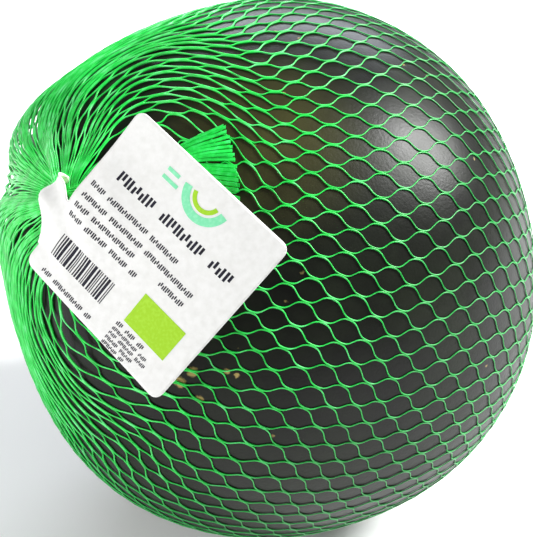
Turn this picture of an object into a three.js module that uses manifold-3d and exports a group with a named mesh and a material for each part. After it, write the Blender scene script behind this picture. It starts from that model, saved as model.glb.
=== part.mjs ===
// A black watermelon in a green extruded-plastic carrying net, with a folded paper label
// gripped at the gathered neck. Millimetres, +Z up, resting on the floor at z = 0.
import * as THREE from 'three';
import { mergeVertices } from 'three/addons/utils/BufferGeometryUtils.js';
import Module from 'manifold-3d';

const wasm = await Module();
wasm.setup();

// ---- driving dimensions, mm ---------------------------------------------------------------

const EQUATOR_RADIUS = 92.1;          // half the fruit's widest diameter
const POLAR_RADIUS = 88.7;            // half its length from stem scar to blossom scar
const SQUARENESS = 2.2;               // superellipse exponent of its outline: 2 is an ellipse
const STEM_AXIS = new THREE.Vector3(-0.92, -0.381, -0.074).normalize();
const STEM_DIMPLE = { radius: 15, depth: 1.6 };
const STEM_PIT = { radius: 3.4, depth: 2.2 };       // where the stem broke off
const BLOSSOM_DIMPLE = { radius: 10, depth: 1.0 };
const REST_FLAT_DEPTH = 2;            // how much the flat that it lies on takes off the round

const NET_CLEARANCE = 0.5;            // between the rind and the net
const NET_THICKNESS = 0.9;
const BUNDLE_RADIUS = 3.1;            // the net gathered tight, where a clip holds it
const FUNNEL_RISE = 2.5;              // how far the gathered net stands off the rind at a neck
const BILLOW = { rise: 5, spread: 0.34, towards: new THREE.Vector3(-0.85, 0.205, 0.467) };
const BACK_NECK = new THREE.Vector3(0.753, 0.391, -0.53).normalize();
const BACK_TAIL_LENGTH = 22;
const BACK_TAIL_STRAIGHT = 9;         // its length up to the clip, before it opens
const BACK_TAIL_ROOT = 2;             // how far it starts inside the sleeve's cone, before the cut
const BACK_TAIL_END_RADIUS = 5.5;
const BACK_TAIL_GAP = 0.05;           // between the sleeve and the tail, which is a node of its own
const NECK_MOUTH_RADIUS = 1.3;        // the sleeve's own mouth, under the tail
const FRINGE_WIDTH = 25;              // the front tail's fanned, straight-cut end
const FRINGE_THICKNESS = 2.6;

const CLIP_CLEARANCE = 0.3;
const CLIP_WALL = 0.9;
const CLIP_WIDTH = 2.6;
const CLIP_SEAM = 0.9;                // the open seam where the clip's two legs meet, radians

const LABEL_SIDE = 60;
const LABEL_THICKNESS = 0.4;
const LABEL_CORNER_RADIUS = 3;
const LABEL_BEND_RADIUS = 1200;       // the gentle roll of the sheet across the print
const LABEL_TWIST = -0.0023;          // the sheet's height per square millimetre, across by up
const LABEL_CENTRE = new THREE.Vector3(-34.1, -74.6, 56.9);       // from the fruit's centre
const LABEL_ACROSS = new THREE.Vector3(0.696, -0.581, -0.422);    // along the lines of print
const LABEL_UP = new THREE.Vector3(0.6255, 0.202, 0.7536);        // from line to line, upwards
const LABEL_SWELL = { rise: 3.1, across: -24.7, up: -1, reach: 13 };    // over the clipped neck
const TAB_LENGTH = 16;                // along the sheet's edge
const TAB_MIDDLE = -12;               // up, from the sheet's middle
const TAB_RADIUS = 4.6;               // of its turn round the neck
const TAB_END_TURN = 195;             // degrees, where the tab tucks in beside the neck

const FRUIT_SEGMENTS = 48;
const NET_SEGMENTS = 48;
const NET_RINGS = 30;

// ---- solids -------------------------------------------------------------------------------

/** A manifold solid of a closed three.js geometry. */
function solidOf(geometry) {
  const bare = geometry.clone();
  bare.deleteAttribute('normal');
  bare.deleteAttribute('uv');
  const merged = mergeVertices(bare, 1e-4);
  const corners = merged.index.array;
  const kept = [];
  for (let i = 0; i < corners.length; i += 3) {
    const [a, b, c] = [corners[i], corners[i + 1], corners[i + 2]];
    if (a !== b && b !== c && c !== a) kept.push(a, b, c);
  }
  return new wasm.Manifold(new wasm.Mesh({
    numProp: 3,
    vertProperties: new Float32Array(merged.attributes.position.array),
    triVerts: new Uint32Array(kept),
  }));
}

/** A three.js geometry of a manifold solid. */
function geometryOf(solid) {
  const { vertProperties, triVerts } = solid.getMesh();
  const geometry = new THREE.BufferGeometry();
  geometry.setAttribute('position', new THREE.BufferAttribute(vertProperties, 3));
  geometry.setIndex(new THREE.BufferAttribute(triVerts, 1));
  geometry.computeVertexNormals();
  return geometry;
}

/** Moves every point of a geometry to place(point). */
function reshape(geometry, place) {
  const position = geometry.attributes.position;
  const point = new THREE.Vector3();
  for (let i = 0; i < position.count; i += 1) {
    point.fromBufferAttribute(position, i);
    position.setXYZ(i, ...place(point));
  }
  return geometry;
}

/** Everything under the level z, as a solid to cut the resting flat with. */
function below(z) {
  const size = 4 * EQUATOR_RADIUS;
  return solidOf(new THREE.BoxGeometry(size, size, size).translate(0, 0, z - size / 2));
}

// ---- the fruit ----------------------------------------------------------------------------

/** Distance from the fruit's centre to its rind, at an angle from its axis. */
function profileRadius(angle) {
  const across = Math.abs(Math.sin(angle) / EQUATOR_RADIUS) ** SQUARENESS;
  const along = Math.abs(Math.cos(angle) / POLAR_RADIUS) ** SQUARENESS;
  return (across + along) ** (-1 / SQUARENESS);
}

const rindRadius = (direction) => profileRadius(direction.angleTo(STEM_AXIS));

/** How deep a round dimple is at a distance from its middle. */
const dimpled = ({ radius, depth }, distance) => depth * Math.exp(-((distance / radius) ** 2));

function fruitProfile() {
  const rows = 28;
  const outline = [];
  for (let row = 0; row <= rows; row += 1) {
    const angle = Math.PI * (row / rows);
    const radius = profileRadius(angle);
    const across = row === 0 || row === rows ? 0 : radius * Math.sin(angle);
    const dimple = angle < Math.PI / 2 ? STEM_DIMPLE : BLOSSOM_DIMPLE;
    const inward = -Math.sign(Math.cos(angle)) * dimpled(dimple, across);
    outline.push(new THREE.Vector2(across, radius * Math.cos(angle) + inward));
  }
  const rim = outline[0].y;
  const pit = [
    new THREE.Vector2(0, rim - STEM_PIT.depth),
    new THREE.Vector2(STEM_PIT.radius * 0.6, rim - STEM_PIT.depth),
    new THREE.Vector2(STEM_PIT.radius, rim),
  ];
  return [...pit, ...outline.slice(1)].reverse();
}

const REST_LEVEL = -lowestOfRind() + REST_FLAT_DEPTH;

/** How far the fruit reaches below its centre before the flat is cut. */
function lowestOfRind() {
  const tilt = STEM_AXIS.angleTo(new THREE.Vector3(0, 0, -1));
  let lowest = 0;
  for (let turn = 0; turn <= Math.PI; turn += 0.001) {
    lowest = Math.max(lowest, profileRadius(turn) * Math.cos(turn - tilt));
  }
  return lowest;
}

function watermelonGeometry() {
  const lathe = new THREE.LatheGeometry(fruitProfile(), FRUIT_SEGMENTS);
  const turn = new THREE.Quaternion().setFromUnitVectors(new THREE.Vector3(0, 1, 0), STEM_AXIS);
  return geometryOf(solidOf(lathe.applyQuaternion(turn)).subtract(below(REST_LEVEL)));
}

// ---- places round the neck ----------------------------------------------------------------

const LABEL_OUT = new THREE.Vector3().crossVectors(LABEL_ACROSS, LABEL_UP).normalize();

/** The point above the rind under a place on the label's plane. */
function overRind(across, up, height) {
  const direction = LABEL_CENTRE.clone()
    .addScaledVector(LABEL_ACROSS, across)
    .addScaledVector(LABEL_UP, up)
    .normalize();
  return direction.clone().multiplyScalar(rindRadius(direction) + height);
}

const FRONT_NECK = overRind(-34.6, -8, 0).normalize();
const FRONT_ROUTE = new THREE.CatmullRomCurve3([
  overRind(-34.6, -10, -1),
  overRind(-34.6, -7, 4.5),
  overRind(-30.6, -1.8, 6.4),
  overRind(-25.6, 3.4, 6.4),
  overRind(-18.7, 12.6, 4.6),
  overRind(-9.9, 26.7, 4),
  overRind(-4.3, 40.7, 4),
]);
const FRONT_FAN_STARTS = 0.33;        // along the route, past the clip

// ---- the net ------------------------------------------------------------------------------

/** A cone's height over the rind that touches it all round and peaks at a neck. */
function funnelRise(direction, neck) {
  const touching = Math.acos(EQUATOR_RADIUS / (EQUATOR_RADIUS + FUNNEL_RISE));
  const short = Math.max(0, touching - direction.angleTo(neck));
  return EQUATOR_RADIUS * (1 / Math.cos(short) - 1);
}

/** How far the net stands off the rind: snug, but for the two necks and one slack billow. */
function netRise(direction) {
  const away = direction.angleTo(BILLOW.towards) / BILLOW.spread;
  const billow = BILLOW.rise * Math.exp(-(away ** 2));
  return Math.max(funnelRise(direction, FRONT_NECK), funnelRise(direction, BACK_NECK), billow);
}

/** The solid inside a surface that follows the net at an offset from the rind. */
function netEnvelope(offset) {
  const sphere = new THREE.SphereGeometry(1, NET_SEGMENTS, NET_RINGS);
  const turn = new THREE.Quaternion().setFromUnitVectors(new THREE.Vector3(0, 1, 0), FRONT_NECK);
  sphere.applyQuaternion(turn);
  const placed = reshape(sphere, (direction) => {
    direction.normalize();
    return direction.multiplyScalar(rindRadius(direction) + netRise(direction) + offset);
  });
  return solidOf(placed).subtract(below(REST_LEVEL - offset));
}

/** The tail that fans out from the neck, under the label, to its straight-cut fringe. */
function frontTail() {
  const steps = 28;
  const tube = new THREE.CylinderGeometry(1, 1, 1, 14, steps);
  return solidOf(reshape(tube, (point) => {
    const along = point.y + 0.5;
    const fan = THREE.MathUtils.smoothstep(along, FRONT_FAN_STARTS, 1);
    const halfWidth = THREE.MathUtils.lerp(BUNDLE_RADIUS, FRINGE_WIDTH / 2, fan);
    const halfThickness = THREE.MathUtils.lerp(BUNDLE_RADIUS, FRINGE_THICKNESS / 2, Math.sqrt(fan));
    const middle = FRONT_ROUTE.getPointAt(along);
    const tangent = FRONT_ROUTE.getTangentAt(along);
    const side = new THREE.Vector3().crossVectors(tangent, middle).normalize();
    const out = new THREE.Vector3().crossVectors(side, tangent).normalize();
    return middle
      .addScaledVector(side, point.x * halfWidth)
      .addScaledVector(out, point.z * halfThickness);
  }));
}

/** Turns a shape made along +Y to run outwards from the back neck. */
function atBackNeck(geometry) {
  const turn = new THREE.Quaternion().setFromUnitVectors(new THREE.Vector3(0, 1, 0), BACK_NECK);
  return geometry.applyQuaternion(turn);
}

const BACK_NECK_RADIUS = rindRadius(BACK_NECK) + FUNNEL_RISE;

/** The back tail: a straight rope of net that opens a little towards its cut end. */
function backTailGeometry() {
  const profile = [
    new THREE.Vector2(0, BACK_NECK_RADIUS - BACK_TAIL_ROOT),
    new THREE.Vector2(BUNDLE_RADIUS, BACK_NECK_RADIUS - BACK_TAIL_ROOT),
    new THREE.Vector2(BUNDLE_RADIUS, BACK_NECK_RADIUS + BACK_TAIL_STRAIGHT),
    new THREE.Vector2(BACK_TAIL_END_RADIUS, BACK_NECK_RADIUS + BACK_TAIL_LENGTH),
    new THREE.Vector2(0, BACK_NECK_RADIUS + BACK_TAIL_LENGTH),
  ];
  const rope = solidOf(atBackNeck(new THREE.LatheGeometry(profile, 20)));
  return geometryOf(rope.subtract(netEnvelope(NET_CLEARANCE + NET_THICKNESS + BACK_TAIL_GAP)));
}

/** The sleeve's mouth at the back neck. */
function backMouth() {
  const depth = 12;
  const mouth = new THREE.CylinderGeometry(NECK_MOUTH_RADIUS, NECK_MOUTH_RADIUS, depth, 10);
  return solidOf(atBackNeck(mouth.translate(0, BACK_NECK_RADIUS, 0)));
}

/** The sleeve round the fruit, with the front tail. */
function netGeometry() {
  const outside = netEnvelope(NET_CLEARANCE + NET_THICKNESS).add(frontTail());
  return geometryOf(outside.subtract(netEnvelope(NET_CLEARANCE)).subtract(backMouth()));
}

// ---- the clips ----------------------------------------------------------------------------

/** A wire clip bent round a bundle: a split ring, made along +Y round the origin. */
function clipGeometry() {
  const inner = BUNDLE_RADIUS + CLIP_CLEARANCE;
  const outer = inner + CLIP_WALL;
  const ring = new THREE.Shape();
  ring.absarc(0, 0, outer, CLIP_SEAM / 2, 2 * Math.PI - CLIP_SEAM / 2, false);
  ring.absarc(0, 0, inner, 2 * Math.PI - CLIP_SEAM / 2, CLIP_SEAM / 2, true);
  const clip = new THREE.ExtrudeGeometry(ring, {
    depth: CLIP_WIDTH, bevelEnabled: false, curveSegments: 20,
  });
  return clip.translate(0, 0, -CLIP_WIDTH / 2).rotateX(Math.PI / 2);
}

// ---- the label ----------------------------------------------------------------------------

/** Turns a shape drawn in the label's own frame (x across, y up, z out) to where it lies. */
const LABEL_PLACE = new THREE.Matrix4()
  .makeBasis(LABEL_ACROSS, LABEL_UP, LABEL_OUT)
  .setPosition(LABEL_CENTRE);

/** How far the sheet swells outwards at (x, y), where it goes over the clipped neck. */
function labelSwell(x, y) {
  const away = Math.hypot(x - LABEL_SWELL.across, y - LABEL_SWELL.up) / LABEL_SWELL.reach;
  return LABEL_SWELL.rise * Math.exp(-(away ** 2));
}

/** The height of the sheet's mid-thickness at (x, y). */
function sheetHeight(x, y) {
  const roll = LABEL_TWIST * x * y - (x ** 2) / (2 * LABEL_BEND_RADIUS);
  return labelSwell(x, y) + roll - LABEL_THICKNESS / 2;
}

/** The square sheet with rounded corners, gently rolled and swollen over the neck. */
function labelSheet() {
  const steps = 18;
  const flat = new THREE.BoxGeometry(LABEL_SIDE, LABEL_SIDE, LABEL_THICKNESS, steps, steps, 1);
  const sheet = reshape(flat, (point) => {
    point.z += sheetHeight(point.x, point.y);
    return point;
  });
  const half = LABEL_SIDE / 2;
  const inset = half - LABEL_CORNER_RADIUS;
  const outline = new THREE.Shape();
  outline.absarc(inset, -inset, LABEL_CORNER_RADIUS, -Math.PI / 2, 0, false);
  outline.absarc(inset, inset, LABEL_CORNER_RADIUS, 0, Math.PI / 2, false);
  outline.absarc(-inset, inset, LABEL_CORNER_RADIUS, Math.PI / 2, Math.PI, false);
  outline.absarc(-inset, -inset, LABEL_CORNER_RADIUS, Math.PI, 1.5 * Math.PI, false);
  const cutter = new THREE.ExtrudeGeometry(outline, {
    depth: LABEL_SIDE, bevelEnabled: false, curveSegments: 4,
  });
  return solidOf(sheet).intersect(solidOf(cutter.translate(0, 0, -half)));
}

/** A closed outline round an open path of points, half a thickness to each side. */
function stripOutline(path, thickness) {
  const sides = [1, -1].map((side) => path.map((point, i) => {
    const before = path[Math.max(i - 1, 0)];
    const after = path[Math.min(i + 1, path.length - 1)];
    const along = after.clone().sub(before).normalize();
    return new THREE.Vector2(-along.y, along.x).multiplyScalar((side * thickness) / 2).add(point);
  }));
  return new THREE.Shape([...sides[0], ...sides[1].reverse()]);
}

/** The tab: off the sheet's edge and round the neck, to tuck in beside it. */
function labelTab() {
  const edge = -LABEL_SIDE / 2;
  const root = 3;
  const height = (x) => sheetHeight(x, TAB_MIDDLE);
  const startTurn = Math.PI / 2 + Math.atan(height(edge + 0.5) - height(edge - 0.5));
  const endTurn = THREE.MathUtils.degToRad(TAB_END_TURN);
  const onTurn = (turn) => new THREE.Vector2(Math.cos(turn), Math.sin(turn)).multiplyScalar(TAB_RADIUS);
  const centre = new THREE.Vector2(edge, height(edge)).sub(onTurn(startTurn));
  const path = [new THREE.Vector2(edge + root, height(edge + root))];
  const steps = 9;
  for (let step = 0; step <= steps; step += 1) {
    path.push(onTurn(THREE.MathUtils.lerp(startTurn, endTurn, step / steps)).add(centre));
  }
  const tab = new THREE.ExtrudeGeometry(stripOutline(path, LABEL_THICKNESS), {
    depth: TAB_LENGTH, steps: 6, bevelEnabled: false,
  });
  tab.rotateX(Math.PI / 2).translate(0, TAB_MIDDLE + TAB_LENGTH / 2, 0);
  return solidOf(reshape(tab, (point) => {
    const x = Math.max(point.x, edge);
    point.z += sheetHeight(x, point.y) - height(x);
    return point;
  }));
}

function labelGeometry() {
  return geometryOf(labelSheet().add(labelTab())).applyMatrix4(LABEL_PLACE);
}

// ---- the assembly -------------------------------------------------------------------------

const RIND = new THREE.MeshStandardMaterial({ color: 0x171b14, roughness: 0.45, metalness: 0 });
const PLASTIC_NET = new THREE.MeshStandardMaterial({ color: 0x14d048, roughness: 0.4, metalness: 0 });
const PAPER = new THREE.MeshStandardMaterial({ color: 0xf1f1ee, roughness: 0.8, metalness: 0 });
const ALUMINIUM = new THREE.MeshStandardMaterial({ color: 0xb9bcc0, roughness: 0.35, metalness: 1 });

function piece(name, geometry, material) {
  const mesh = new THREE.Mesh(geometry, material);
  mesh.name = name;
  return mesh;
}

/** A clip round the bundle at a place, its axis along the bundle. */
function placedClip(name, place, along) {
  const clip = piece(name, clipGeometry(), ALUMINIUM);
  clip.position.copy(place);
  clip.quaternion.setFromUnitVectors(new THREE.Vector3(0, 1, 0), along);
  return clip;
}

const FRONT_CLIP_ALONG = 0.28;        // along the route, under the label
const BACK_CLIP_OUT = 6;              // from the back neck, along the tail
const frontClip = placedClip('front_clip', FRONT_ROUTE.getPointAt(FRONT_CLIP_ALONG),
  FRONT_ROUTE.getTangentAt(FRONT_CLIP_ALONG));
const backClip = placedClip('back_clip',
  BACK_NECK.clone().multiplyScalar(BACK_NECK_RADIUS + BACK_CLIP_OUT), BACK_NECK);

const watermelon = new THREE.Group();
watermelon.add(
  piece('watermelon', watermelonGeometry(), RIND),
  piece('net', netGeometry(), PLASTIC_NET),
  piece('net_tail', backTailGeometry(), PLASTIC_NET),
  frontClip,
  backClip,
  piece('label', labelGeometry(), PAPER),
);

const bounds = new THREE.Box3().setFromObject(watermelon);
const middle = bounds.getCenter(new THREE.Vector3());
watermelon.position.set(-middle.x, -middle.y, -bounds.min.z);

export default watermelon;
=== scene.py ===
"""A black watermelon in a bright-green carrying net, with a folded paper label at its neck."""

import logging
import math
from collections.abc import Callable
from dataclasses import dataclass, field
from enum import Enum

import bmesh
import bpy
import numpy as np
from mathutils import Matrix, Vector


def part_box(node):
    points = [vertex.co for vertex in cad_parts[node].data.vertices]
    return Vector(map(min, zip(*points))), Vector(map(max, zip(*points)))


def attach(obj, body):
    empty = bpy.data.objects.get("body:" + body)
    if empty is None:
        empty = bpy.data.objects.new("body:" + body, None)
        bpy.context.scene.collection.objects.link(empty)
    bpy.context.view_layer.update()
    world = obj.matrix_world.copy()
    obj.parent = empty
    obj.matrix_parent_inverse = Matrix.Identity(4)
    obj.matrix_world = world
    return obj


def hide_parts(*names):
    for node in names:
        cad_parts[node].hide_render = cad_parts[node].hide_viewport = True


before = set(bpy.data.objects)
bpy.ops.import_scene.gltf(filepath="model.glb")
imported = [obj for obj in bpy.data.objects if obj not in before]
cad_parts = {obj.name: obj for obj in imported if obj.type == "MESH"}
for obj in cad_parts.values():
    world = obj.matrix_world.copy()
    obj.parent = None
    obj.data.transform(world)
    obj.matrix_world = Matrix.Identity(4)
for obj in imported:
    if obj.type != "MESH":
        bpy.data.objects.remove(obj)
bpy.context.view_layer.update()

MM = 0.001
TURN = math.tau
LOG = logging.getLogger("watermelon")


class Slot(Enum):
    """The record's material slots."""

    RIND = "rind"
    NET = "net_plastic"
    CLIP = "clip_aluminium"
    PAPER = "label_paper"


# ---- small helpers --------------------------------------------------------------------------


def linear(hex_colour: str) -> tuple[float, float, float, float]:
    """Turns an sRGB hex colour into linear RGBA.

    Args:
        hex_colour: six hex digits, such as "1fa04c".

    Returns:
        The linear red, green, blue and an alpha of 1.
    """
    channels = [int(hex_colour[i:i + 2], 16) / 255 for i in (0, 2, 4)]
    red, green, blue = [c / 12.92 if c <= 0.04045 else ((c + 0.055) / 1.055) ** 2.4 for c in channels]
    return red, green, blue, 1.0


def add_node(
    tree: bpy.types.NodeTree,
    kind: str,
    settings: dict[str, object] | None = None,
    inputs: dict[str | int, object] | None = None,
) -> bpy.types.Node:
    """Adds one shader node, sets it and links it.

    Args:
        tree: the node tree to add to.
        kind: the node's type name, without "ShaderNode".
        settings: its properties, by name.
        inputs: its inputs by name or number; a socket is linked and a value is set.

    Returns:
        The new node.
    """
    node = tree.nodes.new("ShaderNode" + kind)
    for name, value in (settings or {}).items():
        setattr(node, name, value)
    for name, value in (inputs or {}).items():
        if isinstance(value, bpy.types.NodeSocket):
            tree.links.new(value, node.inputs[name])
        else:
            node.inputs[name].default_value = value
    return node


def ramp(
    tree: bpy.types.NodeTree,
    factor: bpy.types.NodeSocket,
    stops: list[tuple[float, tuple[float, float, float, float]]],
) -> bpy.types.NodeSocket:
    """Adds a colour ramp.

    Args:
        tree: the node tree to add to.
        factor: the socket that drives it.
        stops: (position, linear colour) from low to high.

    Returns:
        Its colour socket.
    """
    node = add_node(tree, "ValToRGB", inputs={"Fac": factor})
    elements = node.color_ramp.elements
    for position, colour in stops[2:]:
        elements.new(position).color = colour
    for element, (position, colour) in zip(elements, stops):
        element.position, element.color = position, colour
    return node.outputs["Color"]


def grey(value: float) -> tuple[float, float, float, float]:
    """A linear grey with an alpha of 1."""
    return value, value, value, 1.0


def smoothstep(low: float, high: float, value: np.ndarray | float) -> np.ndarray | float:
    """A smooth step from 0 at low to 1 at high."""
    t = np.clip((value - low) / (high - low), 0, 1)
    return t * t * (3 - 2 * t)


def unit(vectors: np.ndarray) -> np.ndarray:
    """Vectors scaled to length 1 along the last axis."""
    return vectors / np.linalg.norm(vectors, axis=-1, keepdims=True)


def turned(vectors: np.ndarray, axis: np.ndarray, angles: np.ndarray) -> np.ndarray:
    """Turns each vector about one axis by its own angle.

    Args:
        vectors: points or directions, with xyz on the last axis.
        axis: the unit axis.
        angles: one angle for each vector, in radians.

    Returns:
        The turned vectors.
    """
    cosine, sine = np.cos(angles)[..., None], np.sin(angles)[..., None]
    along = (vectors @ axis)[..., None] * axis
    return vectors * cosine + np.cross(axis, vectors) * sine + along * (1 - cosine)


def catmull_rom(points: np.ndarray, count: int) -> np.ndarray:
    """Samples a smooth curve through points.

    Args:
        points: the points that it passes through.
        count: how many samples to return, evenly spaced along it.

    Returns:
        The samples.
    """
    ends = np.vstack([2 * points[0] - points[1], points, 2 * points[-1] - points[-2]])
    fine = []
    for a, b, c, d in zip(ends, ends[1:], ends[2:], ends[3:]):
        t = np.linspace(0, 1, 24, endpoint=False)[:, None]
        fine.append(0.5 * (2 * b + (c - a) * t + (2 * a - 5 * b + 4 * c - d) * t**2
                           + (3 * b - a - 3 * c + d) * t**3))
    curve = np.vstack(fine + [points[-1:]])
    travelled = np.concatenate([[0], np.cumsum(np.linalg.norm(np.diff(curve, axis=0), axis=1))])
    wanted = np.linspace(0, travelled[-1], count)
    return np.stack([np.interp(wanted, travelled, curve[:, i]) for i in range(3)], axis=1)


def new_piece(name: str, mesh: bpy.types.Mesh, materials: list[bpy.types.Material], slot: Slot,
              *replaced: str, smooth: bool = True) -> bpy.types.Object:
    """Makes a piece of the object, with its place already in its mesh.

    Args:
        name: the piece's name.
        mesh: its mesh, in the frame.
        materials: its materials, in slot order.
        slot: the record's slot that its finish belongs to; not used.
        replaced: the CAD nodes that it stands for.
        smooth: whether its faces are shaded smooth.

    Returns:
        The new object.
    """
    piece = bpy.data.objects.new(name, mesh)
    bpy.context.collection.objects.link(piece)
    for material in materials:
        mesh.materials.append(material)
    mesh.polygons.foreach_set("use_smooth", [smooth] * len(mesh.polygons))
    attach(piece, "root")
    if replaced:
        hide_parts(*replaced)
    LOG.info("%s: %d faces", name, len(mesh.polygons))
    return piece


def mesh_of(shape: bmesh.types.BMesh, name: str) -> bpy.types.Mesh:
    """Turns a bmesh into a mesh and frees it.

    Args:
        shape: the bmesh.
        name: the mesh's name.

    Returns:
        The mesh.
    """
    mesh = bpy.data.meshes.new(name)
    shape.to_mesh(mesh)
    shape.free()
    return mesh


def moved(shape: bmesh.types.BMesh, place: Callable[[Vector], Vector]) -> None:
    """Moves each vertex of a bmesh to place(its position)."""
    for vertex in shape.verts:
        vertex.co = place(vertex.co)


# ---- finishes -------------------------------------------------------------------------------


@dataclass(frozen=True)
class Finish:
    """What every finish has: a name, and a principled shader on a fresh material."""

    name: str

    def start(self) -> tuple[bpy.types.Material, bpy.types.NodeTree, bpy.types.Node]:
        """Makes the material.

        Returns:
            The material, its node tree and its principled shader, linked to the output.
        """
        material = bpy.data.materials.new(self.name)
        material.use_nodes = True
        tree = material.node_tree
        tree.nodes.clear()
        shader = add_node(tree, "BsdfPrincipled")
        add_node(tree, "OutputMaterial", inputs={"Surface": shader.outputs["BSDF"]})
        return material, tree, shader

    def bump(self, tree: bpy.types.NodeTree, height: bpy.types.NodeSocket,
             depth: float) -> bpy.types.NodeSocket:
        """A bump of a real depth in metres from a height between 0 and 1."""
        node = add_node(tree, "Bump", inputs={"Strength": 1.0, "Distance": depth, "Height": height})
        return node.outputs["Normal"]


@dataclass(frozen=True)
class Rind(Finish):
    """Watermelon rind, grown: near-black green under a thin natural wax, which gives it a broad
    soft shine. It has a faint darker mottle, an olive patch where it was shaded, corky tan scabs
    and scattered pale specks."""

    name: str = "watermelon_rind_waxy"
    olive_patch: tuple[float, float, float] = (0, 0, 0)
    scab_spots: tuple[tuple[tuple[float, float, float], float], ...] = ()    # place and radius
    stem_scar: tuple[float, float, float] = (0, 0, 0)
    dark: str = "0d0f0b"
    green: str = "171c12"
    olive: str = "43421e"
    cork: str = "a8935a"
    speck_size: float = 0.7 * MM        # drawn a little coarser than life, so that it shows
    patch_reach: tuple[float, float] = (6 * MM, 42 * MM)
    scar_reach: tuple[float, float] = (2.2 * MM, 5.5 * MM)

    def near(self, tree: bpy.types.NodeTree, place: bpy.types.NodeSocket,
             spot: tuple[float, float, float], inner: float, outer: float) -> bpy.types.NodeSocket:
        """Makes a round mask about a spot.

        Args:
            tree: the node tree to add to.
            place: the place socket.
            spot: the mask's middle.
            inner: the distance, in metres, within which it is 1.
            outer: the distance past which it is 0.

        Returns:
            The mask's socket.
        """
        distance = add_node(tree, "VectorMath", {"operation": "DISTANCE"}, {0: place, 1: spot})
        return add_node(tree, "MapRange", {"interpolation_type": "SMOOTHSTEP"}, {
            "Value": distance.outputs["Value"], "From Min": inner, "From Max": outer,
            "To Min": 1.0, "To Max": 0.0}).outputs["Result"]

    def make(self) -> bpy.types.Material:
        """Builds the material.

        Returns:
            The material.
        """
        material, tree, shader = self.start()
        place = add_node(tree, "TexCoord").outputs["Object"]
        mottle = add_node(tree, "TexNoise", inputs={
            "Vector": place, "Scale": 1 / (26 * MM), "Detail": 5.0, "Roughness": 0.6})
        grain = add_node(tree, "TexNoise", inputs={
            "Vector": place, "Scale": 1 / (0.9 * MM), "Detail": 2.0})
        skin = ramp(tree, mottle.outputs["Fac"], [
            (0.36, linear(self.dark)), (0.66, linear(self.green))])
        patch = self.near(tree, place, self.olive_patch, *self.patch_reach)
        patchy = add_node(tree, "Math", {"operation": "MULTIPLY"}, {0: patch, 1: mottle.outputs["Fac"]})
        with_olive = add_node(tree, "Mix", {"data_type": "RGBA"}, {
            "Factor": patchy.outputs[0], "A": skin, "B": linear(self.olive)})
        scabs = self.scabs(tree, place)
        corky = add_node(tree, "Mix", {"data_type": "RGBA"}, {
            "Factor": scabs, "A": with_olive.outputs["Result"], "B": linear(self.cork)})
        scar = self.near(tree, place, self.stem_scar, *self.scar_reach)
        scar_colour = ramp(tree, scar, [
            (0.0, linear(self.green)), (0.35, linear("c77a3a")), (0.75, linear("7a4a26")),
            (1.0, linear("2a1a10"))])
        scarred = add_node(tree, "Mix", {"data_type": "RGBA"}, {
            "Factor": scar, "A": corky.outputs["Result"], "B": scar_colour})
        tree.links.new(scarred.outputs["Result"], shader.inputs["Base Color"])
        rough = add_node(tree, "MapRange", inputs={
            "Value": mottle.outputs["Fac"], "From Min": 0.3, "From Max": 0.7,
            "To Min": 0.31, "To Max": 0.41})
        scuffed = add_node(tree, "Math", {"operation": "MULTIPLY_ADD"}, {
            0: scabs, 1: 0.4, 2: rough.outputs["Result"]})
        tree.links.new(scuffed.outputs[0], shader.inputs["Roughness"])
        raised = add_node(tree, "Math", {"operation": "MULTIPLY_ADD"}, {
            0: scabs, 1: 2.0, 2: grain.outputs["Fac"]})
        tree.links.new(self.bump(tree, raised.outputs[0], 0.05 * MM), shader.inputs["Normal"])
        shader.inputs["IOR"].default_value = 1.45
        shader.inputs["Specular IOR Level"].default_value = 0.22
        return material

    def scabs(self, tree: bpy.types.NodeTree, place: bpy.types.NodeSocket) -> bpy.types.NodeSocket:
        """Makes a mask of a few corky scabs and of fine pale specks all over.

        Args:
            tree: the node tree to add to.
            place: the place socket.

        Returns:
            The mask's socket.
        """
        wobble = add_node(tree, "TexNoise", inputs={
            "Vector": place, "Scale": 1 / (1.4 * MM), "Detail": 3.0})
        shaken = add_node(tree, "VectorMath", {"operation": "MULTIPLY_ADD"}, {
            0: wobble.outputs["Color"], 1: (1.6 * MM,) * 3, 2: place}).outputs[0]
        total = None
        for spot, radius in self.scab_spots:
            mask = self.near(tree, shaken, tuple(c + 0.8 * MM for c in spot), 0.6 * radius, radius)
            total = mask if total is None else add_node(
                tree, "Math", {"operation": "MAXIMUM"}, {0: total, 1: mask}).outputs[0]
        cell = 13 * MM
        cells = add_node(tree, "TexVoronoi", inputs={"Vector": shaken, "Scale": 1 / cell})
        specks = add_node(tree, "MapRange", inputs={
            "Value": cells.outputs["Distance"], "From Min": 0.5 * self.speck_size / cell,
            "From Max": self.speck_size / cell, "To Min": 0.55, "To Max": 0.0}).outputs["Result"]
        return add_node(tree, "Math", {"operation": "MAXIMUM"}, {0: total, 1: specks}).outputs[0]


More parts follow.
